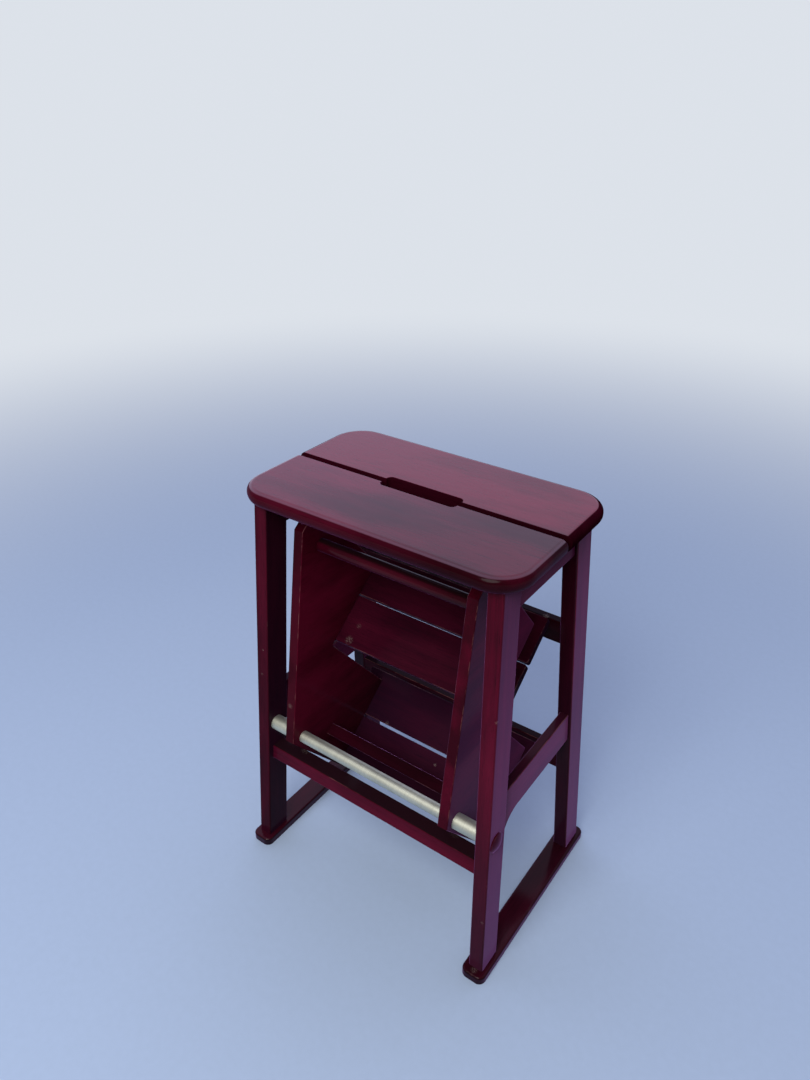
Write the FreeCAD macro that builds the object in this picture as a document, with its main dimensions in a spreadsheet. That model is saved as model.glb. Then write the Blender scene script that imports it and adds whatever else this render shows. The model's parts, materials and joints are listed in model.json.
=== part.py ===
"""Ladder stool: a splayed wooden frame with a two-step ladder that swings over on a steel rod.

Millimetres. +X runs along the seat, +Y to the back, +Z up; the origin is on the floor under
the middle of the seat. The ladder is folded into the frame. Its pieces are drawn from the
rod's axis in the open position and then turned back into the frame by the opening angle.
"""
import FreeCAD, Part
import os
import re
import Sketcher

SIZES = {
    # seat
    "seat_height": 603,
    "seat_thickness": 22,
    "seat_length": 397,
    "seat_depth": 243,
    "seat_gap": 9,
    "seat_corner": 45,
    "seat_top_round": 9,
    "seat_under_round": 12,
    "seat_gap_round": 1,
    "hand_slot_length": 110,
    "hand_slot_width": 25,
    "hand_slot_mouth": 1,
    # legs and runners
    "leg_width": 20.5,
    "leg_depth": 38.2,
    "leg_round": 2,
    "spread_low": 403.6,
    "spread_top": 356,
    "stance_low": 283,
    "stance_top": 211,
    "runner_thickness": 12,
    "runner_width": 34,
    "runner_length": 306,
    "runner_corner": 10,
    "runner_round": 3,
    # rails of the frame
    "rail_thickness": 12,
    "rail_round": 1.5,
    "seat_rail_height": 41,
    "side_rail_low": 237,
    "side_rail_height": 46.5,
    "side_rail_cove": 38,
    "front_stretcher_drop": 64,
    "front_stretcher_height": 24,
    "front_stretcher_inset": 9,
    "lower_stretcher_low": 172,
    "lower_stretcher_height": 39.5,
    "lower_stretcher_inset": 2,
    "upper_stretcher_height": 33,
    "upper_stretcher_rise": 4,
    "upper_stretcher_inset": 3.8,
    "upper_stretcher_level": 190,
    "stop_gap": 0.3,
    "lean_gap": 0.4,
    "tenon_length": 8,
    "tenon_shoulder": 3,
    "joint_gap": 0.1,
    # rod and the pieces on it
    "pivot_height": 228,
    "pivot_inset": 16,
    "rod_diameter": 8,
    "rod_gap": 0.05,
    "rod_end": 1.2,
    "tube_diameter": 16.5,
    "sleeve_diameter": 21.5,
    "sleeve_gap": 0.3,
    "spot_face": 1,
    "nut_width": 13,
    "nut_height": 6.5,
    "nut_pocket_gap": 1,
    "rod_end_gap": 0.3,
    "cap_diameter": 27,
    "cap_seat": 1.5,
    "cap_rim": 1.2,
    "cap_dome": 3.8,
    # ladder
    "ladder_width": 241,
    "stringer_thickness": 14.5,
    "stringer_round": 1.5,
    "stringer_back": 15.8,
    "stringer_drop": 14.1,
    "foot_reach": 261.5,
    "foot_length": 40,
    "riser_reach": 128.6,
    "notch_corner": 3,
    "first_step_drop": 32,
    "second_step_rise": 145,
    "fold_room": 6,
    "tread_thickness": 12,
    "tread_round": 1.5,
    "tread_corner": 3,
    "tread_overhang": 13.5,
    "first_step_gap": 2,
    "second_step_gap": 4.3,
    "first_outer_width": 64.5,
    "first_inner_width": 71,
    "second_outer_width": 72,
    "second_inner_width": 62,
    "foot_bar_diameter": 18,
    "foot_bar_inset": 35,
    "foot_bar_height": 46,
    "foot_bar_seat": 8,
    "step_rail_reach": 17.7,
    "step_rail_thickness": 17,
    "step_rail_height": 77.2,
    "step_tenon_drop": 22,
    # hidden dowels and screws
    "dowel_diameter": 6,
    "dowel_spacing": 24,
    "dowel_in_tread": 8,
    "dowel_in_stringer": 14,
    "screw_diameter": 4,
    "screw_head_diameter": 8,
    "screw_head_height": 3,
    "seat_screw_bite": 14,
    "seat_screw_sink": 12,
    "seat_screw_near": 22,
    "seat_screw_far": 56,
    "runner_screw_bite": 40,
    "runner_screw_sink": 1,
}

V = FreeCAD.Vector
WORD = re.compile(r"[a-z][a-z_]*")
LEFT, RIGHT = -1, 1
FRONT, REAR = -1, 1
SIDES = (("left", LEFT), ("right", RIGHT))
ENDS = (("front", FRONT), ("rear", REAR))

doc = FreeCAD.newDocument("ladder_stool")
sheet = doc.addObject("Spreadsheet::Sheet", "Sizes")
for row, (word, value) in enumerate(SIZES.items(), 1):
    sheet.set(f"A{row}", word)
    sheet.set(f"B{row}", str(value))
    sheet.setAlias(f"B{row}", word)
doc.recompute()

nodes = []

# Tolerances for finding edges: how near a place is, and how true to an axis a run is.
NEAR = 0.1
STRAIGHT = 0.9


def formula(text):
    """Turn a rule written with plain size words into one that reads the sheet."""
    return WORD.sub(lambda m: "Sizes." + m[0] if m[0] in SIZES else m[0], text)


def bind(thing, **rules):
    for prop, rule in rules.items():
        thing.setExpression(prop, formula(rule))


def place(thing, x, y, z):
    for axis, rule in zip("xyz", (x, y, z)):
        thing.setExpression("Placement.Base." + axis, formula(rule))


def turn(thing, axis, angle):
    thing.Placement = FreeCAD.Placement(V(), FreeCAD.Rotation(axis, angle))


def new_body(name, is_node=True):
    body = doc.addObject("PartDesign::Body", name)
    body.Label = name
    if is_node:
        nodes.append(body)
    return body


def fold(thing):
    """Carry a piece drawn from the rod's axis in the open position into the frame."""
    turn(thing, V(-1, 0, 0), 90)
    thing.setExpression("Placement.Rotation.Angle", formula(f"180 deg - {TILT}"))
    place(thing, "0", *PIVOT)


def box(body, kind, name, bounds):
    """A block between the bounds x0, x1, y0, y1, z0, z1; kind is Additive or Subtractive."""
    x0, x1, y0, y1, z0, z1 = bounds
    block = body.newObject(f"PartDesign::{kind}Box", name)
    bind(block, Length=f"({x1}) - ({x0})", Width=f"({y1}) - ({y0})", Height=f"({z1}) - ({z0})")
    place(block, x0, y0, z0)


def grown(bounds, gap):
    """The bounds of a hole that clears a block on every side."""
    signs = "-+" * 3
    return [f"({edge}) {sign} {gap}" for edge, sign in zip(bounds, signs)]


def leaning_block(body, name, low, high):
    """A block whose section changes evenly from z, x0, x1, y0, y1 below to the same above."""
    z0, x0, x1, y0, y1 = low
    z1, u0, u1, v0, v1 = high
    block = body.newObject("PartDesign::AdditiveWedge", name)
    turn(block, V(1, 0, 0), 90)
    bind(block, Ymin=z0, Xmin=x0, Xmax=x1, Zmin=f"-({y1})", Zmax=f"-({y0})")
    bind(block, Ymax=z1, X2min=u0, X2max=u1, Z2min=f"-({v1})", Z2max=f"-({v0})")


def round_bar(body, kind, name, side, span, centre, radius):
    """A cylinder along X from span[0] to span[1], measured outwards on the given side."""
    bar = body.newObject(f"PartDesign::{kind}Cylinder", name)
    turn(bar, V(0, 1, 0), 90 * side)
    bind(bar, Radius=radius, Height=f"({span[1]}) - ({span[0]})")
    place(bar, f"{side} * ({span[0]})", *centre)


def pin(body, kind, name, x, y, span, radius):
    """An upright cylinder from height span[0] to height span[1]."""
    post = body.newObject(f"PartDesign::{kind}Cylinder", name)
    bind(post, Radius=radius, Height=f"({span[1]}) - ({span[0]})")
    place(post, x, y, span[0])


def soften(body, name, radius, test):
    """Round the edges of the body's last feature that pass the test."""
    doc.recompute()
    last = body.Tip
    picked = [f"Edge{i}" for i, edge in enumerate(last.Shape.Edges, 1) if test(edge)]
    fillet = body.newObject("PartDesign::Fillet", name)
    fillet.Base = (last, picked)
    bind(fillet, Radius=radius)


def along(edge, axis):
    ends = edge.Vertexes
    run = ends[-1].Point - ends[0].Point
    return run.Length > 0 and abs(run.dot(axis)) > STRAIGHT * run.Length


def is_upright(edge):
    return along(edge, V(0, 0, 1))


def is_lengthwise(edge):
    return along(edge, V(1, 0, 0))


def is_crosswise(edge):
    return along(edge, V(0, 1, 0))


def both_sides(side, inner, outer):
    """Ordered x (or y) bounds of something that lies between inner and outer on one side."""
    if side > 0:
        return inner, outer
    return f"-({outer})", f"-({inner})"


# Shared rules: the legs lean inwards both ways between the runners and the seat.
SEAT_UNDER = "(seat_height - seat_thickness)"


def half_at(low, top, z):
    rise = f"(({z}) - runner_thickness) / ({SEAT_UNDER} - runner_thickness)"
    return f"(({low} + ({top} - {low}) * {rise}) / 2)"


def outer_x(z):
    return half_at("spread_low", "spread_top", z)


def inner_x(z):
    return f"({outer_x(z)} - leg_width)"


def outer_y(z):
    return half_at("stance_low", "stance_top", z)


def inner_y(z):
    return f"({outer_y(z)} - leg_depth)"


PIVOT_Y = f"(pivot_inset - {outer_y('pivot_height')})"
PIVOT = (PIVOT_Y, "pivot_height")
ROD_HOLE = "rod_diameter / 2 + joint_gap"
ROD_BORE = "rod_diameter / 2 + rod_gap"
CAP_PLANE = f"({outer_x('pivot_height')} - cap_seat)"
NUT_PLANE = f"({CAP_PLANE} - nut_height - rod_end - rod_end_gap)"
SLEEVE_PLANE = f"({inner_x('pivot_height')} + spot_face)"
LADDER_HALF = "(ladder_width / 2 + stringer_thickness)"

# Folded, the outer edge of the first step rests on the upper rear stretcher, which sets the ladder's tilt.
STOP_Y = f"({inner_y('pivot_height + upper_stretcher_level')} + upper_stretcher_inset)"
EDGE_OUT = "(foot_reach + tread_overhang - tread_round)"
EDGE_DOWN = "(first_step_drop + tread_round)"
EDGE_RADIUS = f"sqrt({EDGE_OUT} * {EDGE_OUT} + {EDGE_DOWN} * {EDGE_DOWN})"
EDGE_TURN = f"acos(({STOP_Y} - stop_gap - tread_round - {PIVOT_Y}) / {EDGE_RADIUS})"
TILT = f"({EDGE_TURN} - atan({EDGE_DOWN} / {EDGE_OUT}))"
STOP_Z = f"(pivot_height + {EDGE_RADIUS} * sin({EDGE_TURN}))"
UPPER_TOP = f"({STOP_Z} + upper_stretcher_rise)"


# Folded, the stringers lean on the back arris of the front stretcher, which sets how deep it is.
FRONT_LOW = "(pivot_height - front_stretcher_drop)"
FRONT_TOP = f"({FRONT_LOW} + front_stretcher_height)"
ARRIS_RELIEF = f"rail_round * (cos({TILT}) + sin({TILT}) - 1)"
LEAN_ROOM = f"((pivot_height - {FRONT_TOP}) * sin({TILT}) - stringer_back - lean_gap + {ARRIS_RELIEF})"
LEAN_Y = f"({PIVOT_Y} + {LEAN_ROOM} / cos({TILT}))"


def front_stretcher_y(z):
    return f"front_stretcher_inset - {outer_y(z)}", f"{LEAN_Y} + {outer_y(FRONT_TOP)} - {outer_y(z)}"


def lower_stretcher_y(z):
    face = f"({inner_y(z)} + lower_stretcher_inset)"
    return face, f"{face} + rail_thickness"


def upper_stretcher_y(z):
    return STOP_Y, f"{STOP_Y} + rail_thickness"


# Cross rails: lower edge, upper edge and the rule for their front and back faces.
STRETCHERS = {
    "front_stretcher": (FRONT_LOW, FRONT_TOP, front_stretcher_y),
    "rear_lower_stretcher": (
        "lower_stretcher_low", "(lower_stretcher_low + lower_stretcher_height)", lower_stretcher_y),
    "rear_upper_stretcher": (
        f"({UPPER_TOP} - upper_stretcher_height)", UPPER_TOP, upper_stretcher_y),
}

# Side rails: lower and upper edge.
SIDE_RAILS = {
    "side_rail": ("side_rail_low", "(side_rail_low + side_rail_height)"),
    "seat_rail": (f"({SEAT_UNDER} - seat_rail_height)", SEAT_UNDER),
}


def middle(low, high):
    return f"(({low} + {high}) / 2)"


def side_rail_x(side, z):
    """A side rail stands in the middle of the legs' width and leans with them."""
    centre = f"({outer_x(z)} - leg_width / 2)"
    return both_sides(side, f"({centre} - rail_thickness / 2)", f"({centre} + rail_thickness / 2)")


def stretcher_tenon(low, high, y_at):
    """The tenons of a cross rail as one bar through the rail."""
    mid = middle(low, high)
    reach = f"({inner_x(mid)} + tenon_length)"
    y0, y1 = y_at(mid)
    return [f"-{reach}", reach, f"{y0} + tenon_shoulder", f"{y1} - tenon_shoulder",
            f"{low} + tenon_shoulder", f"{high} - tenon_shoulder"]


def side_tenon(side, low, high):
    """The tenons of a side rail as one bar through the rail."""
    mid = middle(low, high)
    reach = f"({inner_y(mid)} + tenon_length)"
    x0, x1 = side_rail_x(side, mid)
    return [f"{x0} + tenon_shoulder", f"{x1} - tenon_shoulder", f"-{reach}", reach,
            f"{low} + tenon_shoulder", f"{high} - tenon_shoulder"]


# Screws of the seat and of the runners: x and y are those of the screw's axis.
SCREW_RADIUS = "screw_diameter / 2"
SCREW_HOLE = "screw_diameter / 2 + joint_gap"
HEAD_RADIUS = "screw_head_diameter / 2"
HEAD_HOLE = "screw_head_diameter / 2 + joint_gap"
SEAT_RAIL_MID = middle(*SIDE_RAILS["seat_rail"])
SEAT_SCREW_X = f"({outer_x(SEAT_RAIL_MID)} - leg_width / 2)"
SEAT_SCREW_HEAD = f"({SIDE_RAILS['seat_rail'][0]} + seat_screw_sink)"
SEAT_SCREW_TIP = f"({SEAT_UNDER} + seat_screw_bite)"
RUNNER_SCREW_X = "((spread_low - leg_width) / 2)"
RUNNER_SCREW_Y = "((stance_low - leg_depth) / 2)"
RUNNER_SCREW_HEAD = "(runner_screw_sink + screw_head_height)"
RUNNER_SCREW_TIP = "(runner_thickness + runner_screw_bite)"


# Seat: two boards with a hand slot between them.
def make_seat_board(name, end):
    body = new_body(name)
    y0, y1 = both_sides(end, "seat_gap / 2", "seat_depth / 2")
    box(body, "Additive", name + "_blank", [
        "-seat_length / 2", "seat_length / 2", y0, y1, SEAT_UNDER, "seat_height"])
    outer = SIZES["seat_depth"] / 4
    soften(body, name + "_corners", "seat_corner",
           lambda e: is_upright(e) and abs(e.CenterOfMass.y) > outer)
    box(body, "Subtractive", name + "_slot", [
        "-hand_slot_length / 2", "hand_slot_length / 2", "-hand_slot_width / 2",
        "hand_slot_width / 2", SEAT_UNDER, "seat_height"])
    slot_half = SIZES["hand_slot_width"] / 2
    soften(body, name + "_slot_corners", "(hand_slot_width - seat_gap) / 2 - hand_slot_mouth",
           lambda e: is_upright(e) and abs(abs(e.CenterOfMass.y) - slot_half) < NEAR)
    middle_height = SIZES["seat_height"] - SIZES["seat_thickness"] / 2

    def is_outside(edge):
        return not is_upright(edge) and abs(edge.CenterOfMass.y) > slot_half + NEAR

    def is_inside(edge):
        reach = max(abs(edge.BoundBox.YMin), abs(edge.BoundBox.YMax))
        return not is_upright(edge) and reach < slot_half + NEAR

    soften(body, name + "_top_edge", "seat_top_round",
           lambda e: is_outside(e) and e.CenterOfMass.z > middle_height)
    soften(body, name + "_under_edge", "seat_under_round",
           lambda e: is_outside(e) and e.CenterOfMass.z < middle_height)
    soften(body, name + "_gap_edges", "seat_gap_round", is_inside)
    for side_name, side in SIDES:
        for spot in ("seat_screw_near", "seat_screw_far"):
            pin(body, "Subtractive", f"{name}_{side_name}_{spot}", f"{side} * {SEAT_SCREW_X}",
                f"{end} * {spot}", (SEAT_UNDER, SEAT_SCREW_TIP), SCREW_HOLE)


# Legs: mortised for the rails; the front ones are bored for the rod.
def make_leg(name, side, end):
    body = new_body(name)
    sections = []
    for z in ("runner_thickness", SEAT_UNDER):
        x0, x1 = both_sides(side, inner_x(z), outer_x(z))
        y0, y1 = both_sides(end, inner_y(z), outer_y(z))
        sections.append((z, x0, x1, y0, y1))
    leaning_block(body, name + "_blank", *sections)
    soften(body, name + "_arrises", "leg_round", is_upright)
    for rail, (low, high, y_at) in STRETCHERS.items():
        if rail.startswith("front") == (end == FRONT):
            bar = grown(stretcher_tenon(low, high, y_at), "joint_gap")
            box(body, "Subtractive", f"{name}_{rail}_mortise", bar)
    for rail, (low, high) in SIDE_RAILS.items():
        bar = grown(side_tenon(side, low, high), "joint_gap")
        box(body, "Subtractive", f"{name}_{rail}_mortise", bar)
    pin(body, "Subtractive", name + "_screw_hole", f"{side} * {RUNNER_SCREW_X}",
        f"{end} * {RUNNER_SCREW_Y}", ("runner_thickness", RUNNER_SCREW_TIP), SCREW_HOLE)
    if end == FRONT:
        outside = f"({outer_x('pivot_height')} + leg_width)"
        cuts = {
            "rod_hole": (("0", outside), ROD_HOLE),
            "spot_face": (("0", SLEEVE_PLANE), "sleeve_diameter / 2 + joint_gap"),
            "nut_pocket": ((NUT_PLANE, outside), "nut_width / sqrt(3) + nut_pocket_gap"),
            "cap_seat": ((CAP_PLANE, outside), "cap_diameter / 2 + joint_gap"),
        }
        for cut, (span, radius) in cuts.items():
            round_bar(body, "Subtractive", f"{name}_{cut}", side, span, PIVOT, radius)


def make_runner(name, side):
    body = new_body(name)
    x0, x1 = both_sides(side, f"{RUNNER_SCREW_X} - runner_width / 2", f"{RUNNER_SCREW_X} + runner_width / 2")
    box(body, "Additive", name + "_blank", [
        x0, x1, "-runner_length / 2", "runner_length / 2", "0", "runner_thickness"])
    soften(body, name + "_ends", "runner_corner", is_upright)
    top = SIZES["runner_thickness"]
    soften(body, name + "_top_edge", "runner_round",
           lambda e: abs(e.CenterOfMass.z - top) < NEAR)
    for end_name, end in ENDS:
        spot = (f"{side} * {RUNNER_SCREW_X}", f"{end} * {RUNNER_SCREW_Y}")
        pin(body, "Subtractive", f"{name}_{end_name}_hole", *spot,
            ("0", "runner_thickness"), SCREW_HOLE)
        pin(body, "Subtractive", f"{name}_{end_name}_head_hole", *spot,
            ("0", RUNNER_SCREW_HEAD), HEAD_HOLE)


# Rails of the frame.
def make_stretcher(name, low, high, y_at):
    body = new_body(name)
    sections = [(z, f"-{inner_x(z)}", inner_x(z), *y_at(z)) for z in (low, high)]
    leaning_block(body, name + "_blank", *sections)
    soften(body, name + "_arrises", "rail_round", is_lengthwise)
    box(body, "Additive", name + "_tenons", stretcher_tenon(low, high, y_at))


def make_side_rail(name, kind, side):
    """A rail between the legs of one side; the lower one swells into the front leg in a cove."""
    body = new_body(name)
    low, high = SIDE_RAILS[kind]
    if kind == "side_rail":
        cove_low = f"({low} - side_rail_cove)"
        cove_end = f"(side_rail_cove - {inner_y(low)})"
        sections = []
        for z in (cove_low, middle(low, high)):
            sections.append((z, *side_rail_x(side, z), f"-{inner_y(z)}", cove_end))
        leaning_block(body, name + "_swell", *sections)
        reach = f"({outer_x(cove_low)} + leg_width)"
        round_bar(body, "Subtractive", name + "_cove", side, ("0", reach),
                  (cove_end, cove_low), "side_rail_cove")
    sections = [(z, *side_rail_x(side, z), f"-{inner_y(z)}", inner_y(z)) for z in (low, high)]
    leaning_block(body, name + "_blank", *sections)
    soften(body, name + "_arrises", "rail_round", is_crosswise)
    box(body, "Additive", name + "_tenons", side_tenon(side, low, high))
    if kind == "seat_rail":
        for end_name, end in ENDS:
            for spot in ("seat_screw_near", "seat_screw_far"):
                at = (f"{side} * {SEAT_SCREW_X}", f"{end} * {spot}")
                pin(body, "Subtractive", f"{name}_{end_name}_{spot}", *at, (low, high), SCREW_HOLE)
                pin(body, "Subtractive", f"{name}_{end_name}_{spot}_head", *at,
                    (low, SEAT_SCREW_HEAD), HEAD_HOLE)


# Rod, sleeves, nuts and caps.
def make_tube(name, span, radius, side=RIGHT, folded=False):
    """A brass tube that runs on the rod, drawn from the rod's axis when it folds with the ladder."""
    body = new_body(name)
    centre = ("0", "0") if folded else PIVOT
    round_bar(body, "Additive", name + "_outside", side, span, centre, radius)
    round_bar(body, "Subtractive", name + "_bore", side, span, centre, ROD_BORE)
    if folded:
        fold(body)


def make_cap(name, side):
    body = new_body(name)
    rim = f"({outer_x('pivot_height')} + cap_rim)"
    round_bar(body, "Additive", name + "_rim", side, (CAP_PLANE, rim), PIVOT, "cap_diameter / 2")
    dome_radius = "((cap_diameter * cap_diameter / 4 + cap_dome * cap_dome) / (2 * cap_dome))"
    dome = body.newObject("PartDesign::AdditiveSphere", name + "_dome")
    turn(dome, V(0, 1, 0), 90 * side)
    bind(dome, Radius=dome_radius, Angle1=f"asin(({dome_radius} - cap_dome) / {dome_radius})")
    place(dome, f"{side} * ({rim} + cap_dome - {dome_radius})", *PIVOT)


def make_nut(name, side):
    body = new_body(name, is_node=False)
    nut = body.newObject("PartDesign::AdditivePrism", name + "_blank")
    nut.Polygon = 6
    turn(nut, V(0, 1, 0), 90 * side)
    bind(nut, Circumradius="nut_width / sqrt(3)", Height="nut_height")
    place(nut, f"{side} * {NUT_PLANE}", *PIVOT)
    round_bar(body, "Subtractive", name + "_bore", side,
              (NUT_PLANE, f"{NUT_PLANE} + nut_height"), PIVOT, ROD_BORE)
    return body


def make_screw(name, x, y, head, tip):
    """A screw driven upwards: the head bears on the plane at the given height."""
    body = new_body(name, is_node=False)
    pin(body, "Additive", name + "_head", x, y, (f"{head} - screw_head_height", head), HEAD_RADIUS)
    pin(body, "Additive", name + "_shank", x, y, (head, tip), SCREW_RADIUS)
    return body


def make_group(name, pieces):
    group = doc.addObject("Part::Compound", name)
    group.Label = name
    group.Links = pieces
    nodes.append(group)
    return group


# Ladder, drawn from the rod's axis: the steps lead forwards, towards -Y, and z is height above the rod.
# The toes stand on the floor when it is open, and swing over just under the seat.
FIRST_UNDER = "(-first_step_drop - tread_thickness)"
SECOND_UNDER = "(second_step_rise - tread_thickness)"
TOE_SWING = f"({SEAT_UNDER} - pivot_height - fold_room)"
TOE_REACH = f"sqrt({TOE_SWING} * {TOE_SWING} - pivot_height * pivot_height)"
FOOT_RISE = f"(foot_bar_height / (pivot_height + {FIRST_UNDER}))"
FOOT_FRONT = f"({TOE_REACH} + (foot_reach - {TOE_REACH}) * {FOOT_RISE})"
FIRST_OUT = "(foot_reach + tread_overhang)"
SECOND_OUT = "(riser_reach + tread_overhang)"
FIRST_IN = f"({FIRST_OUT} - first_outer_width - first_step_gap)"
SECOND_IN = f"({SECOND_OUT} - second_outer_width - second_step_gap)"
FOOT_BAR = (f"foot_bar_inset - {FOOT_FRONT}", "foot_bar_height - pivot_height")
STRINGER_MID = "((ladder_width + stringer_thickness) / 2)"

# Tread boards: underside, reach of the outer edge, width, and reach of the wood below that carries it.
TREADS = {
    "first_step_outer_board": (FIRST_UNDER, FIRST_OUT, "first_outer_width", "foot_reach"),
    "first_step_inner_board": (FIRST_UNDER, FIRST_IN, "first_inner_width", FIRST_IN),
    "second_step_outer_board": (SECOND_UNDER, SECOND_OUT, "second_outer_width", "riser_reach"),
    "second_step_inner_board": (SECOND_UNDER, SECOND_IN, "second_inner_width", SECOND_IN),
}


def dowel_spots(tread):
    """The two places along the stringer where a tread is dowelled to it."""
    out, width, carried = TREADS[tread][1:]
    mid = f"(({carried} + {out} - {width}) / 2)"
    return [f"-({mid} + dowel_spacing / 2)", f"-({mid} - dowel_spacing / 2)"]


def step_rail_tenon():
    reach = "(ladder_width / 2 + tenon_length)"
    return [f"-{reach}", reach,
            "tenon_shoulder - step_rail_reach - step_rail_thickness", "-step_rail_reach - tenon_shoulder",
            f"{SECOND_UNDER} - step_rail_height + tenon_shoulder", f"{SECOND_UNDER} - step_tenon_drop"]


def make_stringer(name, side):
    body = new_body(name)
    outline = [
        ("stringer_back", "-stringer_drop"),
        (f"foot_length - {TOE_REACH}", "-pivot_height"),
        (f"-{TOE_REACH}", "-pivot_height"),
        ("-foot_reach", FIRST_UNDER),
        ("-riser_reach", FIRST_UNDER),
        ("-riser_reach", SECOND_UNDER),
        ("stringer_back", SECOND_UNDER),
    ]
    corners = [[sheet.evalExpression(formula(rule)) for rule in corner] for corner in outline]
    sketch = body.newObject("Sketcher::SketchObject", name + "_outline")
    plane = [o for o in body.Origin.OriginFeatures if o.Role == "YZ_Plane"][0]
    sketch.AttachmentSupport = (plane, "")
    sketch.MapMode = "FlatFace"
    count = len(corners)
    for i, corner in enumerate(corners):
        following = corners[(i + 1) % count]
        sketch.addGeometry(Part.LineSegment(V(*corner, 0), V(*following, 0)))
    for i in range(count):
        sketch.addConstraint(Sketcher.Constraint("Coincident", i, 2, (i + 1) % count, 1))
    for i, (corner, rules) in enumerate(zip(corners, outline)):
        for kind, value, rule in zip(("DistanceX", "DistanceY"), corner, rules):
            index = sketch.addConstraint(Sketcher.Constraint(kind, -1, 1, i, 1, value))
            sketch.setExpression(f"Constraints[{index}]", formula(rule))
    x0, x1 = both_sides(side, "ladder_width / 2", LADDER_HALF)
    sketch.setExpression("AttachmentOffset.Base.z", formula(x0))
    board = body.newObject("PartDesign::Pad", name + "_blank")
    board.Profile = sketch
    bind(board, Length="stringer_thickness")
    inside = V(0, -SIZES["riser_reach"], corners[3][1])
    soften(body, name + "_notch", "notch_corner",
           lambda e: is_lengthwise(e) and (e.CenterOfMass - inside).cross(V(1, 0, 0)).Length < NEAR)
    soften(body, name + "_arrises", "stringer_round", lambda e: not is_lengthwise(e))
    round_bar(body, "Subtractive", name + "_bore", side, ("0", LADDER_HALF), ("0", "0"), ROD_BORE)
    round_bar(body, "Subtractive", name + "_foot_socket", side,
              ("0", "ladder_width / 2 + foot_bar_seat"), FOOT_BAR, "foot_bar_diameter / 2 + joint_gap")
    box(body, "Subtractive", name + "_mortise", grown(step_rail_tenon(), "joint_gap"))
    for tread, (under, *rest) in TREADS.items():
        for i, spot in enumerate(dowel_spots(tread)):
            pin(body, "Subtractive", f"{name}_{tread}_hole_{i}", f"{side} * {STRINGER_MID}", spot,
                (f"{under} - dowel_in_stringer", under), "dowel_diameter / 2 + joint_gap")
    fold(body)


def make_tread(name):
    body = new_body(name)
    under, out, width = TREADS[name][:3]
    half = f"({LADDER_HALF} + tread_overhang)"
    box(body, "Additive", name + "_blank", [
        f"-{half}", half, f"-{out}", f"{width} - {out}", under, f"{under} + tread_thickness"])
    soften(body, name + "_corners", "tread_corner", is_upright)
    soften(body, name + "_edges", "tread_round", lambda e: not is_upright(e))
    for side_name, side in SIDES:
        for i, spot in enumerate(dowel_spots(name)):
            pin(body, "Subtractive", f"{name}_{side_name}_hole_{i}", f"{side} * {STRINGER_MID}", spot,
                (under, f"{under} + dowel_in_tread"), "dowel_diameter / 2 + joint_gap")
    fold(body)


def make_foot_bar(name):
    body = new_body(name)
    half = "(ladder_width / 2 + foot_bar_seat)"
    round_bar(body, "Additive", name + "_round", RIGHT, (f"-{half}", half), FOOT_BAR,
              "foot_bar_diameter / 2")
    fold(body)


def make_step_rail(name):
    body = new_body(name)
    box(body, "Additive", name + "_blank", [
        "-ladder_width / 2", "ladder_width / 2", "-step_rail_reach - step_rail_thickness",
        "-step_rail_reach", f"{SECOND_UNDER} - step_rail_height", SECOND_UNDER])
    soften(body, name + "_arrises", "rail_round", is_lengthwise)
    box(body, "Additive", name + "_tenons", step_rail_tenon())
    fold(body)


def make_dowels(name):
    dowels = []
    for tread, (under, *rest) in TREADS.items():
        for side_name, side in SIDES:
            for i, spot in enumerate(dowel_spots(tread)):
                dowel = doc.addObject("Part::Cylinder", f"{tread}_{side_name}_dowel_{i}")
                bind(dowel, Radius="dowel_diameter / 2", Height="dowel_in_tread + dowel_in_stringer")
                place(dowel, f"{side} * {STRINGER_MID}", spot, f"{under} - dowel_in_stringer")
                dowels.append(dowel)
    fold(make_group(name, dowels))


# Build every piece.
for end_name, end in ENDS:
    make_seat_board(f"seat_{end_name}_board", end)
    for side_name, side in SIDES:
        make_leg(f"{end_name}_{side_name}_leg", side, end)
for rail, rules in STRETCHERS.items():
    make_stretcher(rail, *rules)
for side_name, side in SIDES:
    make_runner(f"{side_name}_runner", side)
    for kind in SIDE_RAILS:
        make_side_rail(f"{side_name}_{kind}", kind, side)
    make_tube(f"{side_name}_pivot_sleeve", (f"({LADDER_HALF} + sleeve_gap)", SLEEVE_PLANE),
              "sleeve_diameter / 2", side)
    make_cap(f"{side_name}_pivot_cap", side)
    make_stringer(f"{side_name}_stringer", side)
for tread in TREADS:
    make_tread(tread)
make_foot_bar("foot_bar")
make_step_rail("step_rail")
make_tube("pivot_tube", ("-ladder_width / 2", "ladder_width / 2"), "tube_diameter / 2", folded=True)
make_dowels("tread_dowels")

rod = new_body("pivot_rod")
rod_half = f"({NUT_PLANE} + nut_height + rod_end)"
round_bar(rod, "Additive", "pivot_rod_round", RIGHT, (f"-{rod_half}", rod_half), PIVOT, "rod_diameter / 2")
make_group("pivot_nuts", [make_nut(f"{side_name}_pivot_nut", side) for side_name, side in SIDES])

seat_screws = []
runner_screws = []
for side_name, side in SIDES:
    for end_name, end in ENDS:
        for spot in ("seat_screw_near", "seat_screw_far"):
            seat_screws.append(make_screw(
                f"{side_name}_{end_name}_{spot}", f"{side} * {SEAT_SCREW_X}", f"{end} * {spot}",
                SEAT_SCREW_HEAD, SEAT_SCREW_TIP))
        runner_screws.append(make_screw(
            f"{side_name}_{end_name}_runner_screw", f"{side} * {RUNNER_SCREW_X}",
            f"{end} * {RUNNER_SCREW_Y}", RUNNER_SCREW_HEAD, RUNNER_SCREW_TIP))
make_group("seat_screws", seat_screws)
make_group("runner_screws", runner_screws)

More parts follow.
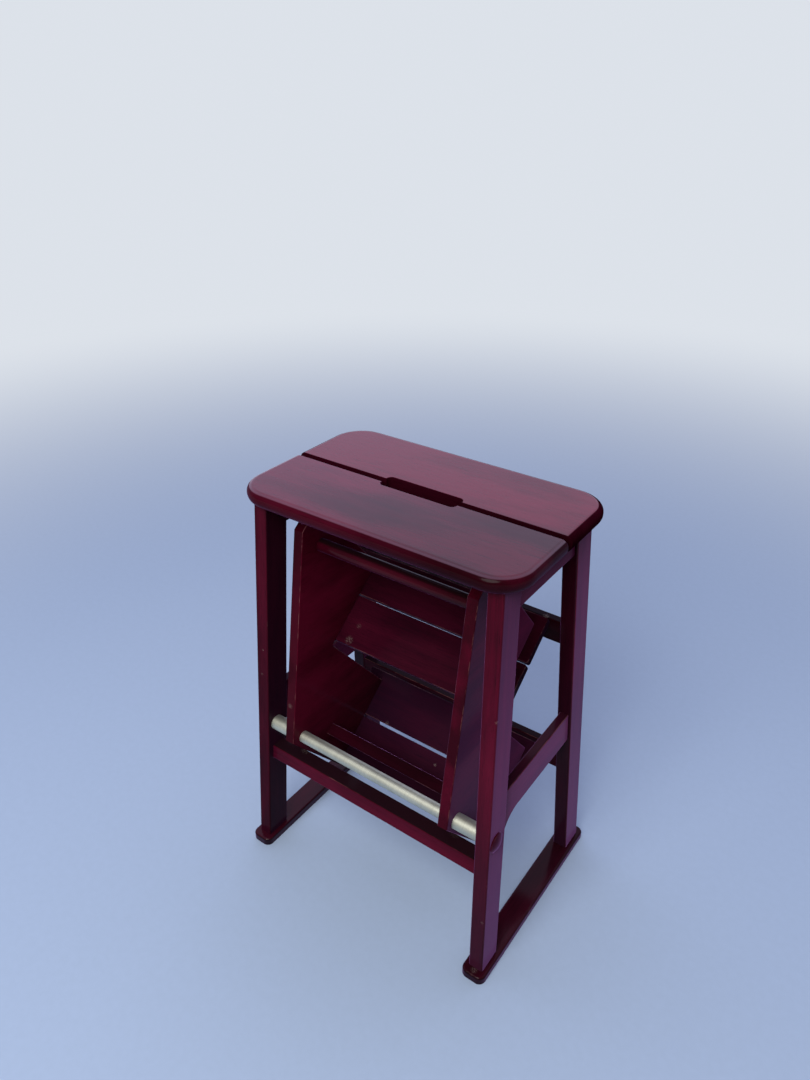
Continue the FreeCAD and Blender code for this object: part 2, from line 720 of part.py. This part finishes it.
doc.recompute()
for thing in doc.Objects:
    if "Invalid" in thing.State or "Error" in thing.State:
        raise RuntimeError(f"{thing.Label} did not build: {thing.State}")
for node in nodes:
    if node.Shape.isNull() or not node.Shape.isValid():
        raise RuntimeError(f"{node.Label} has no valid shape")

os.makedirs("parts", exist_ok=True)
for node in nodes:
    node.Shape.exportStep(f"parts/{node.Label}.step")
    print(node.Label, len(node.Shape.Solids), round(node.Shape.Volume / 1000, 1))
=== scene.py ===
"""Looks of the ladder stool: dark red lacquered wood, a satin brass pivot, soft studio light.

Metres, in the same frame as the solids: +X along the seat, +Y to the back, +Z up.
"""
import json
import math
from dataclasses import dataclass

import bpy
from mathutils import Matrix, Vector


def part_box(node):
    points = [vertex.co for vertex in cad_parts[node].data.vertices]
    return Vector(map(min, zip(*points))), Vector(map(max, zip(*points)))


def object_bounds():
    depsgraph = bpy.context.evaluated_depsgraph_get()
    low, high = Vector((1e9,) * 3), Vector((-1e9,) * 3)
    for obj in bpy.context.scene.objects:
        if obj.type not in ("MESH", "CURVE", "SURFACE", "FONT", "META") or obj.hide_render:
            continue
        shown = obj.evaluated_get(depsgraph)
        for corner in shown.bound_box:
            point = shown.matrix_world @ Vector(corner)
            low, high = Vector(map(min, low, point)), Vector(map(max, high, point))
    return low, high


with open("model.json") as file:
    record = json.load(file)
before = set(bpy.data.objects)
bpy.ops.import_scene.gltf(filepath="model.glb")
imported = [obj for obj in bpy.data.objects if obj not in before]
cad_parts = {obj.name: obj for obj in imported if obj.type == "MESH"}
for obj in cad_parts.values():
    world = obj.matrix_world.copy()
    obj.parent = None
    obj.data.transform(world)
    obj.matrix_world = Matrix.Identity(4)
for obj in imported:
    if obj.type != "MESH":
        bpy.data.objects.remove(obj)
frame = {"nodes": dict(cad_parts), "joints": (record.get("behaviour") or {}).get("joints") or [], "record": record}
cad_low, cad_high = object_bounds()
nodes = frame["nodes"]

AXIS_X = Vector((1, 0, 0))
AXIS_Y = Vector((0, 1, 0))
AXIS_Z = Vector((0, 0, 1))

# The ladder's treads are level when it is open; these are its own axes, turned back to the folded pose.
OPEN_ANGLE = math.radians(frame["joints"][0]["range_deg"][1])
FOLD = Matrix.Rotation(-OPEN_ANGLE, 3, "X")
LADDER_BACK = FOLD @ AXIS_Y
LADDER_UP = FOLD @ AXIS_Z

# Vector operations that give one number, and the numbers of a mix node's colour sockets.
NUMBER_RESULTS = ("DOT_PRODUCT", "DISTANCE", "LENGTH")
MIX_SHARE, MIX_FIRST, MIX_SECOND, MIX_RESULT = 0, 6, 7, 2


class NodeNet:
    """The nodes of one material or of the world. A value is a number, a colour or another node's socket."""

    def __init__(self, owner):
        owner.use_nodes = True
        self.owner = owner
        self.tree = owner.node_tree
        self.tree.nodes.clear()

    def feed(self, socket, value):
        """Link an input to another node's socket, or else set it; a colour gets its alpha here."""
        if isinstance(value, bpy.types.NodeSocket):
            self.tree.links.new(value, socket)
        elif socket.type == "RGBA":
            socket.default_value = (*value, 1.0)
        else:
            socket.default_value = value

    def add(self, kind, settings=None, numbered=None, **named):
        """Add a node with its settings, and feed its inputs by number or by name."""
        made = self.tree.nodes.new("ShaderNode" + kind)
        for key, value in (settings or {}).items():
            setattr(made, key, value)
        for number, value in (numbered or {}).items():
            self.feed(made.inputs[number], value)
        for key, value in named.items():
            self.feed(made.inputs[key.replace("_", " ")], value)
        return made

    def math(self, operation, first, second=0.0, third=0.0, clamp=False):
        settings = {"operation": operation, "use_clamp": clamp}
        return self.add("Math", settings, {0: first, 1: second, 2: third}).outputs[0]

    def plus(self, first, second):
        return self.math("ADD", first, second)

    def times(self, first, second):
        return self.math("MULTIPLY", first, second)

    def flip(self, share):
        """What is left of 1."""
        return self.math("SUBTRACT", 1.0, share)

    def vector(self, operation, first, second=(0, 0, 0)):
        made = self.add("VectorMath", {"operation": operation}, {0: first, 1: second})
        return made.outputs["Value" if operation in NUMBER_RESULTS else "Vector"]

    def noise(self, at, repeats, detail, roughness):
        """Noise that repeats so many times in a metre along each axis."""
        spread = self.vector("MULTIPLY", at, repeats)
        made = self.add("TexNoise", Vector=spread, Scale=1.0, Detail=detail, Roughness=roughness)
        return made.outputs["Fac"]

    def ramp(self, value, *stops):
        """A colour ramp from stops, each a place and a colour."""
        made = self.add("ValToRGB", Fac=value)
        elements = made.color_ramp.elements
        while len(elements) < len(stops):
            elements.new(1.0)
        for element, (place, colour) in zip(elements, stops):
            element.position = place
            element.color = (*colour, 1.0)
        return made.outputs["Color"]

    def step(self, value, low, high):
        """0 below low, 1 above high, smooth between."""
        smooth = {"interpolation_type": "SMOOTHSTEP"}
        return self.add("MapRange", smooth, Value=value, From_Min=low, From_Max=high).outputs["Result"]

    def between(self, share, low, high):
        """From low at 0 to high at 1."""
        return self.add("MapRange", Value=share, To_Min=low, To_Max=high).outputs["Result"]

    def mix(self, share, first, second, blend="MIX"):
        settings = {"data_type": "RGBA", "blend_type": blend}
        made = self.add("Mix", settings, {MIX_SHARE: share, MIX_FIRST: first, MIX_SECOND: second})
        return made.outputs[MIX_RESULT]

    def bump(self, height, strength, depth):
        return self.add("Bump", Height=height, Strength=strength, Distance=depth).outputs["Normal"]

    def finish(self, surface, output="OutputMaterial"):
        """Link the surface to the output and hand back the material or the world."""
        self.add(output, Surface=surface)
        return self.owner


# Colours of the lacquered wood, with its painted highlight, painted shade and painted reflections.
WOOD_DARK = (0.038, 0.0012, 0.0055)
WOOD_MID = (0.085, 0.0022, 0.0130)
WOOD_LIGHT = (0.150, 0.0050, 0.0240)
STAIN = ((0.30, WOOD_DARK), (0.50, WOOD_MID), (0.72, WOOD_LIGHT))
WOOD_WORN = (0.22, 0.09, 0.09)
WOOD_SCUFF = (0.50, 0.40, 0.36)
# Painted highlight: the pale line along the seat's rim, where its coat would catch the light.
RIM_HIGHLIGHT = (0.125, 0.070, 0.110)
# Tint of painted shade on pieces and edges where the stool shades them; on a few pieces it is a darker stain.
SHADE_AND_DARK_STAIN = (0.10, 0.30, 0.20)
PORE_SHADE = (0.25, 0.22, 0.22)
# Near black for dirt and painted shade on faces that look up, and for the darkening towards the floor.
DIRT_AND_SHADE = (0.010, 0.004, 0.005)
# Painted reflection: a bluish cast on the treads, in place of reflected blue light.
BLUE_REFLECTION_TINT = (0.020, 0.012, 0.034)
# Painted reflection: violet tint of the sheen, standing in for the reflection of a deep blue floor.
SHEEN_TINT = (0.70, 0.29, 0.84)

# Noises of the wood: repeats in a metre along the fibres and across them, detail, roughness.
SWAY = ((5, 14, 14), 2, 0.5)
BAND = ((2.2, 70, 70), 5, 0.6)
FIBRE = ((14, 700, 700), 3, 0.6)
CLOUD = ((4.5, 13, 13), 3, 0.55)
PORES = ((45, 1500, 1500), 1, 0.5)
RUB = ((18, 60, 60), 4, 0.65)
SMEAR = ((9, 22, 22), 4, 0.6)
RIPPLE = ((35, 120, 120), 2, 0.5)

# How the noises make up the stain: how far the fibres sway, and the share of each noise in the tone.
SWAY_WIDTH = 0.02
NOISE_MIDDLE = 0.5
BAND_SHARE = 0.50
FIBRE_SHARE = 0.22
CLOUD_SHARE = 0.28
CLOUD_RANGE = (0.30, 0.70)
PORE_RANGE = (0.60, 0.72)
PORE_SHARE = 0.6
FADE_AXIS = (-0.85, 0.50, 0.0)

# Wear, dirt, painted highlight and painted shade: where each begins and where it is complete.
# Facing over which the painted rim highlight fades out along the rounding.
RIM_HIGHLIGHT_RANGE = (0.90, 0.995)
FEET_RANGE = (0.05, 0.48)
# Faces that look up, for dirt and painted shade.
UPWARD_RANGE = (0.6, 0.95)
ARRIS_RANGE = (0.80, 1.0)
RUB_LOW, RUB_LOW_DROP = 0.66, 0.30
RUB_HIGH, RUB_HIGH_DROP = 0.80, 0.22
BARE_SHARE = 0.8
SCUFF_CORE = 0.3
SPECKS = 9.0
SPECK_DETAIL, SPECK_ROUGHNESS = 4, 0.75
SPECK_RANGE = (0.54, 0.60)

# Surface of the wood: relief shares, then bumps as strength and depth.
FIBRE_RELIEF, PORE_RELIEF = 0.5, -0.6
SKIN_BUMP = (0.10, 0.0004)
COAT_BUMP = (0.10, 0.0010)
BODY_ROUGHNESS = (0.30, 0.48)
BODY_IOR = 1.5
BODY_MIRROR = 0.0
SHEEN_ROUGHNESS = 0.35
COAT_ROUGHNESS = 0.14
COAT_IOR = 1.45


@dataclass
class Finish:
    """How one board looks. Facing is 1 on the broad faces, square to the thickness, and 0 on the edges."""

    grain: Vector  # along the fibres, or None for a leg, which follows its own lean
    thickness: Vector  # across the broad faces
    polish: float  # gloss coat on the broad faces
    edge_polish: float = None  # gloss coat on the edges, where it differs
    rim: tuple = (0.55, 0.80)  # facing over which an edge turns into a broad face
    rim_highlight: float = 0.0  # painted highlight: a pale line along the rim, where the coat would catch the light
    sheen: float = 0.3  # painted reflection: a violet sheen at flat angles, in place of a deep blue floor's reflection
    figure: float = 1.0  # contrast of the bands
    lift: float = 0.0  # lighter tone all over
    fade: float = 0.0  # change of tone for each metre along FADE_AXIS
    stain_and_painted_shade: float = 1.0  # darker stain, and painted shade on pieces deep in the stool: 1 leaves the stain as it is, 0 darkens it fully by the shade tint
    painted_edge_shade: float = 1.0  # painted shade on the edges alone, darkened in the same way
    painted_blue_reflection: float = 0.0  # painted reflection: a bluish cast in place of reflected blue light
    grime_and_shade: float = 0.0  # dirt, and painted shade under the seat, on faces that look up
    feet: float = 0.0  # darker towards the floor
    worn: float = 0.4  # bare wood along the arrises


def fibre_space(net, place, grain, shift):
    """Coordinates with the fibres along X, shifted so that no two pieces look alike."""
    turn = grain.rotation_difference(AXIS_X).to_euler("XYZ")
    return net.add("Mapping", Vector=place, Rotation=turn, Location=shift).outputs["Vector"]


def wavy_space(net, at):
    """The same coordinates with fibres that are not quite straight."""
    aside = net.times(net.noise(at, *SWAY), SWAY_WIDTH)
    return net.vector("ADD", at, net.add("CombineXYZ", Y=aside).outputs["Vector"])


def stain_tone(net, place, at, wavy, fibre, look):
    """Light and dark of the stain: bands, fibres and clouds, and a slope across the piece."""
    band = net.math("SUBTRACT", net.noise(wavy, *BAND), NOISE_MIDDLE)
    band = net.math("MULTIPLY_ADD", band, look.figure, NOISE_MIDDLE)
    cloud = net.step(net.noise(at, *CLOUD), *CLOUD_RANGE)
    tone = net.plus(net.times(band, BAND_SHARE), net.times(fibre, FIBRE_SHARE))
    tone = net.plus(net.times(cloud, CLOUD_SHARE), net.plus(tone, look.lift))
    if look.fade:
        slope = net.vector("DOT_PRODUCT", place, FADE_AXIS)
        tone = net.plus(tone, net.times(slope, look.fade))
    return tone


def aged_and_painted_light(net, colour, place, normal, facing, broad, look):
    """The stain with its painted rim highlight, painted shade, painted blue reflection, darkening towards the
    floor, and dirt with painted shade on faces that look up.
    """
    # Painted highlight along the rim.
    if look.rim_highlight:
        line = net.times(net.flip(net.step(facing, *RIM_HIGHLIGHT_RANGE)), broad)
        colour = net.mix(net.times(line, look.rim_highlight), colour, RIM_HIGHLIGHT)
    # Painted shade on the edges.
    if look.painted_edge_shade < 1:
        edge = net.flip(broad)
        colour = net.mix(net.times(edge, 1 - look.painted_edge_shade), colour, SHADE_AND_DARK_STAIN, "MULTIPLY")
    if look.feet:
        height = net.add("SeparateXYZ", Vector=place).outputs["Z"]
        low_down = net.flip(net.step(height, *FEET_RANGE))
        colour = net.mix(net.times(low_down, look.feet), colour, DIRT_AND_SHADE)
    # Darker stain, and painted shade on pieces that sit in the stool's shadow.
    if look.stain_and_painted_shade < 1:
        colour = net.mix(1 - look.stain_and_painted_shade, colour, SHADE_AND_DARK_STAIN, "MULTIPLY")
    # Painted reflection: a bluish cast.
    if look.painted_blue_reflection:
        colour = net.mix(look.painted_blue_reflection, colour, BLUE_REFLECTION_TINT)
    # Dirt, and painted shade under the seat, on faces that look up.
    if look.grime_and_shade:
        upward = net.step(net.vector("DOT_PRODUCT", normal, tuple(AXIS_Z)), *UPWARD_RANGE)
        colour = net.mix(net.times(upward, look.grime_and_shade), colour, DIRT_AND_SHADE)
    return colour


def bare_share(net, at, facing, worn):
    """Bare wood in patches along the arrises, where facing is halfway between edge and broad face."""
    aside = net.math("SQRT", net.math("SUBTRACT", 1.0, net.times(facing, facing), clamp=True))
    halfway = net.times(net.times(facing, aside), 2.0)
    arris = net.step(halfway, *ARRIS_RANGE)
    patch_low = RUB_LOW - RUB_LOW_DROP * worn
    patch_high = RUB_HIGH - RUB_HIGH_DROP * worn
    patch = net.step(net.noise(at, *RUB), patch_low, patch_high)
    return net.times(net.times(arris, patch), BARE_SHARE)


def scuff_share(net, place, scuffs):
    """Specks that thin out from the middle of each scuff."""
    marks = 0.0
    for centre, radius, strength in scuffs:
        spot = net.flip(net.step(net.vector("DISTANCE", place, centre), radius * SCUFF_CORE, radius))
        repeats = SPECKS / radius
        noise = net.noise(place, (repeats, repeats, repeats), SPECK_DETAIL, SPECK_ROUGHNESS)
        specks = net.times(spot, net.step(noise, *SPECK_RANGE))
        marks = net.math("MAXIMUM", marks, net.times(specks, strength))
    return marks


def lacquered_wood(name, shift, grain, look, scuffs):
    """Stained wood under a gloss coat."""
    net = NodeNet(bpy.data.materials.new(name))
    source = net.add("TexCoord").outputs
    place = source["Object"]
    normal = source["Normal"]
    facing = net.math("ABSOLUTE", net.vector("DOT_PRODUCT", normal, tuple(look.thickness)))
    broad = net.step(facing, *look.rim)
    at = fibre_space(net, place, grain, shift)
    wavy = wavy_space(net, at)
    fibre = net.noise(wavy, *FIBRE)
    pore = net.step(net.noise(wavy, *PORES), *PORE_RANGE)

    colour = net.ramp(stain_tone(net, place, at, wavy, fibre, look), *STAIN)
    colour = net.mix(net.times(pore, PORE_SHARE), colour, PORE_SHADE, "MULTIPLY")
    colour = aged_and_painted_light(net, colour, place, normal, facing, broad, look)
    colour = net.mix(bare_share(net, at, facing, look.worn), colour, WOOD_WORN)
    if scuffs:
        colour = net.mix(scuff_share(net, place, scuffs), colour, WOOD_SCUFF)

    relief = net.plus(net.times(fibre, FIBRE_RELIEF), net.times(pore, PORE_RELIEF))
    wood = net.add(
        "BsdfPrincipled",
        Base_Color=colour,
        Roughness=net.between(net.noise(at, *SMEAR), *BODY_ROUGHNESS),
        IOR=BODY_IOR,
        Normal=net.bump(relief, *SKIN_BUMP),
        Specular_IOR_Level=BODY_MIRROR,
        Sheen_Weight=look.sheen,
        Sheen_Roughness=SHEEN_ROUGHNESS,
        Sheen_Tint=SHEEN_TINT,
        Coat_Weight=look.polish,
        Coat_Roughness=COAT_ROUGHNESS,
        Coat_IOR=COAT_IOR,
        Coat_Normal=net.bump(net.noise(at, *RIPPLE), *COAT_BUMP),
    )
    if look.edge_polish is not None:
        net.feed(wood.inputs["Coat Weight"], net.between(broad, look.edge_polish, look.polish))
    return net.finish(wood.outputs["BSDF"])


# Metals: rings round the rod's axis, which is X, and smudges.
RING_ROUND = 40
RING_DETAIL, RING_ROUGHNESS = 3, 0.6
SMUDGE = ((22, 60, 60), 4, 0.6)
RING_SHARE, SMUDGE_SHARE = 0.5, 0.5
DULL_UNTIL, BRIGHT_FROM = 0.35, 0.62
SMUDGE_ROUGHNESS = 0.16
RING_BUMP = (0.15, 0.0003)
BRASS_BRIGHT, BRASS_DULL = (0.63, 0.64, 0.54), (0.46, 0.47, 0.39)
BRASS_ROUGHNESS, BRASS_RINGS = 0.50, 1800
STEEL_BRIGHT, STEEL_DULL = (0.62, 0.63, 0.65), (0.42, 0.43, 0.45)
STEEL_ROUGHNESS, STEEL_RINGS = 0.30, 900


def brushed_metal(name, bright, dull, roughness, rings):
    """Metal with fine rings and faint smudges."""
    net = NodeNet(bpy.data.materials.new(name))
    at = net.add("TexCoord").outputs["Object"]
    ring = net.noise(at, (rings, RING_ROUND, RING_ROUND), RING_DETAIL, RING_ROUGHNESS)
    smudge = net.noise(at, *SMUDGE)
    tone = net.plus(net.times(ring, RING_SHARE), net.times(smudge, SMUDGE_SHARE))
    metal = net.add(
        "BsdfPrincipled",
        Base_Color=net.ramp(tone, (DULL_UNTIL, dull), (BRIGHT_FROM, bright)),
        Metallic=1.0,
        Roughness=net.between(smudge, roughness, roughness + SMUDGE_ROUGHNESS),
        Normal=net.bump(ring, *RING_BUMP),
    )
    return net.finish(metal.outputs["BSDF"])


# Raw wood of the dowels.
STREAK = ((400, 400, 30), 4, 0.6)
DOWEL_TONES = ((0.3, (0.30, 0.17, 0.08)), (0.7, (0.48, 0.31, 0.17)))
DOWEL_BUMP = (0.3, 0.0003)
DOWEL_ROUGHNESS = 0.7


def raw_wood(name):
    """Plain wood with streaks."""
    net = NodeNet(bpy.data.materials.new(name))
    streak = net.noise(net.add("TexCoord").outputs["Object"], *STREAK)
    wood = net.add(
        "BsdfPrincipled",
        Base_Color=net.ramp(streak, *DOWEL_TONES),
        Roughness=DOWEL_ROUGHNESS,
        Normal=net.bump(streak, *DOWEL_BUMP),
    )
    return net.finish(wood.outputs["BSDF"])


# Grain of the leaning pieces: a leg's section, and how far a stringer's grain runs to the front for each
# metre up in the open pose.
LEG_WIDTH = 0.0205
LEG_DEPTH = 0.0382
STRINGER_RUN = 1.1
STRINGER_GRAIN = (LADDER_UP - LADDER_BACK * STRINGER_RUN).normalized()


def leg_axis(node):
    """A leg's own lean, from the middle of its foot to the middle of its top."""
    low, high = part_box(node)
    side = 1 if low.x + high.x > 0 else -1
    end = 1 if low.y + high.y > 0 else -1
    lean_x = (high.x - low.x - LEG_WIDTH) * -side
    lean_y = (high.y - low.y - LEG_DEPTH) * -end
    return Vector((lean_x, lean_y, high.z - low.z)).normalized()


# What boards of one kind share.
SEAT = dict(grain=AXIS_X, thickness=AXIS_Z, polish=1.0, figure=0.45, worn=0.0)
TREAD = dict(
    grain=AXIS_X, thickness=LADDER_UP, polish=0.10, sheen=0.08, figure=0.8, painted_edge_shade=0.3, worn=0.8
)
STRINGER = dict(grain=STRINGER_GRAIN, thickness=AXIS_X, polish=0.10, figure=0.4, worn=0.7)
LEG = dict(grain=None, worn=0.2)
RUNNER = dict(grain=AXIS_Y, thickness=AXIS_Z, stain_and_painted_shade=0.3, grime_and_shade=0.3, worn=0.2)
RAIL = dict(grain=AXIS_Y, thickness=AXIS_X)
STRETCHER = dict(grain=AXIS_X, thickness=AXIS_Y, grime_and_shade=0.95)

# Finish of each board: the first entry that a node's name ends with. Most polish is left on the seat. Darker tones
# on the pieces deep in the stool are painted shade.
FINISHES = {
    # Seat: a painted highlight along the front board's rim, and painted shade on the boards' edges and in the gap
    # between them.
    "seat_front_board": Finish(**SEAT, edge_polish=0.13, rim=(0.76, 0.82), rim_highlight=0.4, sheen=0.15,
                               painted_edge_shade=0.38, fade=0.75),
    "seat_rear_board": Finish(**SEAT, edge_polish=0.0, rim=(0.945, 0.985), sheen=0.0, painted_edge_shade=0.10,
                              lift=0.20, fade=0.45),
    # Treads: darker all over and at their ends as painted shade under the seat, with a bluish painted reflection.
    "first_step_outer_board": Finish(**TREAD, stain_and_painted_shade=0.28, painted_blue_reflection=0.1),
    "first_step_inner_board": Finish(**TREAD, stain_and_painted_shade=0.30, painted_blue_reflection=0.1, fade=0.3),
    "_board": Finish(**TREAD, stain_and_painted_shade=0.24, painted_blue_reflection=0.28),
    # Stringers: lift and fade paint light and shade, darker towards the back inside the stool on the left, also
    # darker towards the floor there, and lighter towards the back on the right.
    "left_stringer": Finish(**STRINGER, sheen=0.03, lift=0.36, fade=-4.0, painted_edge_shade=0.38, feet=0.45),
    "right_stringer": Finish(**STRINGER, sheen=0.42, lift=0.42, fade=3.2, painted_edge_shade=0.9),
    # Legs: a darker stain on the left front leg with painted shade on its side faces, painted shade on the rear
    # legs' front and back faces, and a violet painted reflection.
    "front_left_leg": Finish(**LEG, thickness=AXIS_Y, polish=0.12, sheen=0.20, stain_and_painted_shade=0.55, painted_edge_shade=0.35,
                             feet=0.1),
    "front_right_leg": Finish(**LEG, thickness=AXIS_X, polish=0.12, sheen=0.74, lift=0.06, feet=0.75),
    "_leg": Finish(**LEG, thickness=AXIS_X, polish=0.20, sheen=0.60, painted_edge_shade=0.2, feet=0.5),
    # Runners: darker stain and dirt on top, with painted shade on their edges.
    "left_runner": Finish(**RUNNER, polish=0.40, sheen=0.5, painted_edge_shade=0.1),
    "right_runner": Finish(**RUNNER, polish=0.25, sheen=0.4, painted_edge_shade=0.3),
    # Side rails: painted shade on their narrow faces, and dirt with painted shade on top.
    "_side_rail": Finish(**RAIL, polish=0.18, sheen=0.65, painted_edge_shade=0.25, grime_and_shade=0.4, worn=0.6),
    "_seat_rail": Finish(**RAIL, polish=0.12, sheen=0.6),
    # Stretchers, step rail and foot bar: painted shade on faces that look up under the seat, and darkened all over
    # where they sit deep in the stool.
    "front_stretcher": Finish(**STRETCHER, polish=0.12, sheen=0.42, stain_and_painted_shade=0.75),
    "_stretcher": Finish(**STRETCHER, polish=0.10, stain_and_painted_shade=0.25, worn=1.0),
    "step_rail": Finish(grain=AXIS_X, thickness=LADDER_BACK, polish=0.10, sheen=0.5, stain_and_painted_shade=0.12, worn=0.6),
    "foot_bar": Finish(grain=AXIS_X, thickness=AXIS_X, polish=0.3, sheen=0.12, stain_and_painted_shade=0.5, grime_and_shade=0.9),
    "_cap": Finish(grain=AXIS_Z, thickness=AXIS_X, polish=0.12, sheen=0.7, stain_and_painted_shade=0.8, feet=0.6, worn=0.6),
}

# Knocks from use, as seen in the photo: place, radius and strength.
SCUFFS = {
    "first_step_inner_board": [
        ((-0.0971, -0.0088, 0.3680), 0.005, 0.25),
        ((-0.1009, -0.0271, 0.3532), 0.008, 0.4),
    ],
    "second_step_inner_board": [((0.0220, 0.0104, 0.1558), 0.003, 1.0)],
    "second_step_outer_board": [((-0.0796, 0.0285, 0.1696), 0.004, 0.7)],
    "front_left_leg": [
        ((-0.1756, -0.1195, 0.3601), 0.0025, 0.9),
        ((-0.1801, -0.1221, 0.3182), 0.0025, 0.9),
    ],
    "front_right_leg": [
        ((0.1940, -0.1358, 0.1017), 0.003, 0.6),
        ((0.1844, -0.1149, 0.4185), 0.003, 0.8),
    ],
    "rear_right_leg": [((0.2017, 0.1087, 0.0133), 0.005, 0.9)],
    "right_runner": [((0.1918, -0.1448, 0.0120), 0.006, 0.5)],
    "rear_upper_stretcher": [((0.1406, 0.0834, 0.4302), 0.006, 0.9)],
    "left_stringer": [((-0.1292, -0.1237, 0.2877), 0.005, 0.7)],
    "front_stretcher": [
        ((-0.128, -0.1000, 0.1875), 0.010, 0.4),
        ((0.128, -0.1000, 0.1875), 0.010, 0.2),
    ],
}

# From one piece to the next the noise moves on by this much, and by these shares of it along each axis.
SHIFT = 0.37
SHIFT_SHARES = (1.0, 0.7, 0.4)


def wood_finish(node, index):
    look = next(rule for ending, rule in FINISHES.items() if node.endswith(ending))
    grain = look.grain or leg_axis(node)
    shift = tuple(index * SHIFT * share for share in SHIFT_SHARES)
    return lacquered_wood("wood_" + node, shift, grain, look, SCUFFS.get(node, ()))


SLOT_OF = {part["node"]: part["material_slot"] for part in frame["record"]["subparts"]}
PLAIN = {
    "satin_brass": brushed_metal("satin_brass", BRASS_BRIGHT, BRASS_DULL, BRASS_ROUGHNESS, BRASS_RINGS),
    "steel": brushed_metal("zinc_steel", STEEL_BRIGHT, STEEL_DULL, STEEL_ROUGHNESS, STEEL_RINGS),
    "dowel_wood": raw_wood("dowel_wood"),
}
for index, (name, piece) in enumerate(sorted(nodes.items())):
    slot = SLOT_OF[name]
    finish = PLAIN[slot] if slot in PLAIN else wood_finish(name, index)
    piece.data.materials.clear()
    piece.data.materials.append(finish)

# Stage: a wide pale floor that fades into the distance, in a studio that is brighter behind the stool.
FLOOR_SEEN = (0.40, 0.50, 0.64)
FLOOR_DARKER = 0.97
FLOOR_BOUNCE = (0.14, 0.16, 0.20)
FLOOR_GRAIN = ((90, 90, 90), 4, 0.6)
GRAIN_LOW, GRAIN_HIGH = 0.3, 0.7
FLOOR_RADIUS = 60.0
FLOOR_SIDES = 96
FAR = (0.72, 0.76, 0.82)
FADE_START, FADE_END = 0.9, 3.2
WALL_SIDE = Vector((-0.50, 0.72, 0.48))
WALL_RANGE = (0.0, 0.9)
WALL_LIGHT = (0.84, 0.87, 1.20)
FRONT_LIGHT = (0.20, 0.20, 0.22)


def make_floor():
    """A floor that is pale to the eye and to the gloss, and throws less light back up."""
    net = NodeNet(bpy.data.materials.new("pale_floor"))
    at = net.add("TexCoord").outputs["Object"]
    darker = tuple(part * FLOOR_DARKER for part in FLOOR_SEEN)
    seen = net.ramp(net.noise(at, *FLOOR_GRAIN), (GRAIN_LOW, darker), (GRAIN_HIGH, FLOOR_SEEN))
    path = net.add("LightPath").outputs
    direct = net.math("MAXIMUM", path["Is Camera Ray"], path["Is Glossy Ray"])
    direct = net.math("MAXIMUM", direct, path["Is Transmission Ray"])
    matt = net.add("BsdfDiffuse", Color=net.mix(direct, FLOOR_BOUNCE, seen)).outputs["BSDF"]
    far = net.add("Emission", Color=FAR, Strength=1.0).outputs["Emission"]
    reach = net.step(net.vector("LENGTH", at), FADE_START, FADE_END)
    both = net.add("MixShader", numbered={0: net.times(reach, direct), 1: matt, 2: far})
    bpy.ops.mesh.primitive_circle_add(vertices=FLOOR_SIDES, radius=FLOOR_RADIUS, fill_type="NGON")
    floor = bpy.context.object
    floor.name = "floor"
    floor.data.materials.append(net.finish(both.outputs["Shader"]))


def make_world():
    """Light from the wall's side, less from the front, and one even colour behind it all."""
    net = NodeNet(bpy.data.worlds.new("studio"))
    way = net.add("TexCoord").outputs["Generated"]
    towards = net.vector("DOT_PRODUCT", way, tuple(WALL_SIDE.normalized()))
    light = net.mix(net.step(towards, *WALL_RANGE), FRONT_LIGHT, WALL_LIGHT)
    seen = net.mix(net.add("LightPath").outputs["Is Camera Ray"], light, FAR)
    back = net.add("Background", Color=seen, Strength=1.0).outputs["Background"]
    bpy.context.scene.world = net.finish(back, "OutputWorld")


# Key lamp: a soft disk in front and above, aimed at the middle of the stool.
KEY_PLACE = Vector((0.3, -1.9, 2.3))
KEY_TARGET = (cad_low + cad_high) / 2
KEY_SIZE = 1.8
KEY_POWER = 60
KEY_COLOUR = (1.0, 0.98, 0.96)


def make_key_lamp():
    data = bpy.data.lights.new("key", "AREA")
    data.shape = "DISK"
    data.size = KEY_SIZE
    data.energy = KEY_POWER
    data.color = KEY_COLOUR
    lamp = bpy.data.objects.new("key", data)
    bpy.context.scene.collection.objects.link(lamp)
    lamp.location = KEY_PLACE
    lamp.rotation_euler = (KEY_TARGET - KEY_PLACE).to_track_quat("-Z", "Y").to_euler()


# Camera: place and aim of the photograph's view.
CAMERA_PLACE = Vector((0.5056, -0.7294, 1.0500))
CAMERA_AZIMUTH = math.radians(35.96)
CAMERA_PITCH = math.radians(30.10)
CAMERA_ROLL = math.radians(-0.19)
CAMERA_LENS = 27.49
SENSOR = 36.0


def make_camera():
    data = bpy.data.cameras.new("camera")
    data.sensor_width = SENSOR
    data.lens = CAMERA_LENS
    camera = bpy.data.objects.new("camera", data)
    bpy.context.scene.collection.objects.link(camera)
    aim = Matrix.Rotation(CAMERA_AZIMUTH, 4, "Z") @ Matrix.Rotation(math.pi / 2 - CAMERA_PITCH, 4, "X")
    roll = Matrix.Rotation(CAMERA_ROLL, 4, "Z")
    camera.matrix_world = Matrix.Translation(CAMERA_PLACE) @ aim @ roll
    bpy.context.scene.camera = camera


make_floor()
make_world()
make_key_lamp()
make_camera()
bpy.context.scene.view_settings.view_transform = "Standard"
